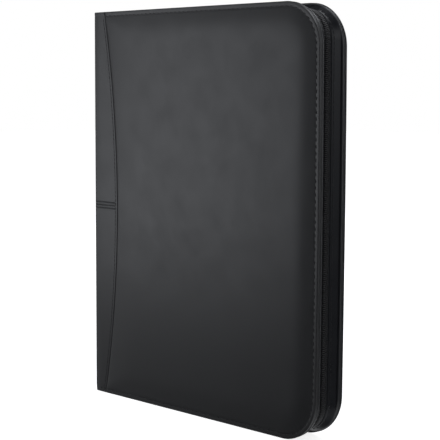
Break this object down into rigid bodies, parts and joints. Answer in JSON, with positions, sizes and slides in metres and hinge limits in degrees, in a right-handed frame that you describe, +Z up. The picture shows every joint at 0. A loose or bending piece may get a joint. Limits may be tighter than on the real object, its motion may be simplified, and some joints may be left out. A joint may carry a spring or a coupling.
{
  "type": "zippered padfolio",
  "caption": "Padded black leather-look document case with rounded corners, a zip round its open edges, a folding spine, inner pockets, a pen loop and a writing pad.",
  "frame": {"origin": "under the middle of the closed case, on the surface that it stands on", "axes": "+X from the spine to the fore edge, +Y from the front cover to the back cover, +Z up along the spine"},
  "size_m": [0.265, 0.0344, 0.34],
  "materials": {
    "black_leather": "smooth imitation leather, soft satin sheen",
    "padding_foam": "thin open foam sheet",
    "stiffener_board": "grey bookbinder's board",
    "black_lining": "fine plain-weave lining cloth",
    "zip_tape": "woven twill zip tape",
    "zip_coil": "black nylon coil",
    "zip_metal": "black lacquered die casting",
    "clear_vinyl": "clear soft vinyl",
    "pad_card": "grey chipboard",
    "pad_paper": "uncoated ruled writing paper",
    "pad_tape": "embossed binding tape",
    "black_elastic": "woven elastic"
  },
  "bodies": {
    "back_cover": {"back_leather": "black_leather", "back_wrap_panel": "black_leather", "back_foam": "padding_foam", "back_board": "stiffener_board", "back_lining": "black_lining", "back_welt": "black_leather", "back_wall": "black_leather", "back_tape": "zip_tape", "back_coil": "zip_coil", "back_tape_tabs": "black_leather", "back_stop": "zip_metal", "end_stop": "zip_metal", "pad_backing": "pad_card", "pad_pocket": "black_leather", "pad_pocket_seams": "black_lining", "pad_sheets": "pad_paper", "pad_binding": "pad_tape", "pen_loop": "black_elastic"},
    "spine": {"spine_wrap": "black_leather", "spine_board": "stiffener_board", "spine_lining": "black_lining", "front_fold": "black_leather", "back_fold": "black_leather"},
    "front_cover": {"front_leather": "black_leather", "front_wrap_panel": "black_leather", "front_foam": "padding_foam", "front_board": "stiffener_board", "front_lining": "black_lining", "front_welt": "black_leather", "front_wall": "black_leather", "front_tape": "zip_tape", "front_coil": "zip_coil", "front_tape_tabs": "black_leather", "front_stop": "zip_metal", "document_pocket": "black_leather", "document_pocket_seams": "black_lining", "card_pocket_rear": "black_leather", "card_pocket_middle": "black_leather", "card_pocket_front": "black_leather", "id_window": "clear_vinyl", "id_window_frame": "black_leather"},
    "slider": {"zip_slider": "zip_metal", "slider_bridge": "zip_metal"},
    "pull": {"zip_pull": "zip_metal"}
  },
  "joints": [
    {"name": "spine_hinge", "type": "hinge", "parent": "back_cover", "child": "spine", "pos_m": [-0.1308, 0.01405, 0.17], "axis": [0, 0, -1], "range_deg": [0, 90]},
    {"name": "cover_hinge", "type": "hinge", "parent": "spine", "child": "front_cover", "pos_m": [-0.1308, -0.01405, 0.17], "axis": [0, 0, -1], "range_deg": [0, 90]},
    {"name": "zip_run", "type": "slide", "parent": "back_cover", "child": "slider", "axis": [1, 0, 0], "range_m": [0, 0.2]},
    {"name": "pull_flip", "type": "hinge", "parent": "slider", "child": "pull", "pos_m": [-0.1075, 0, 0.33735], "axis": [0, -1, 0], "range_deg": [0, 165]}
  ]
}
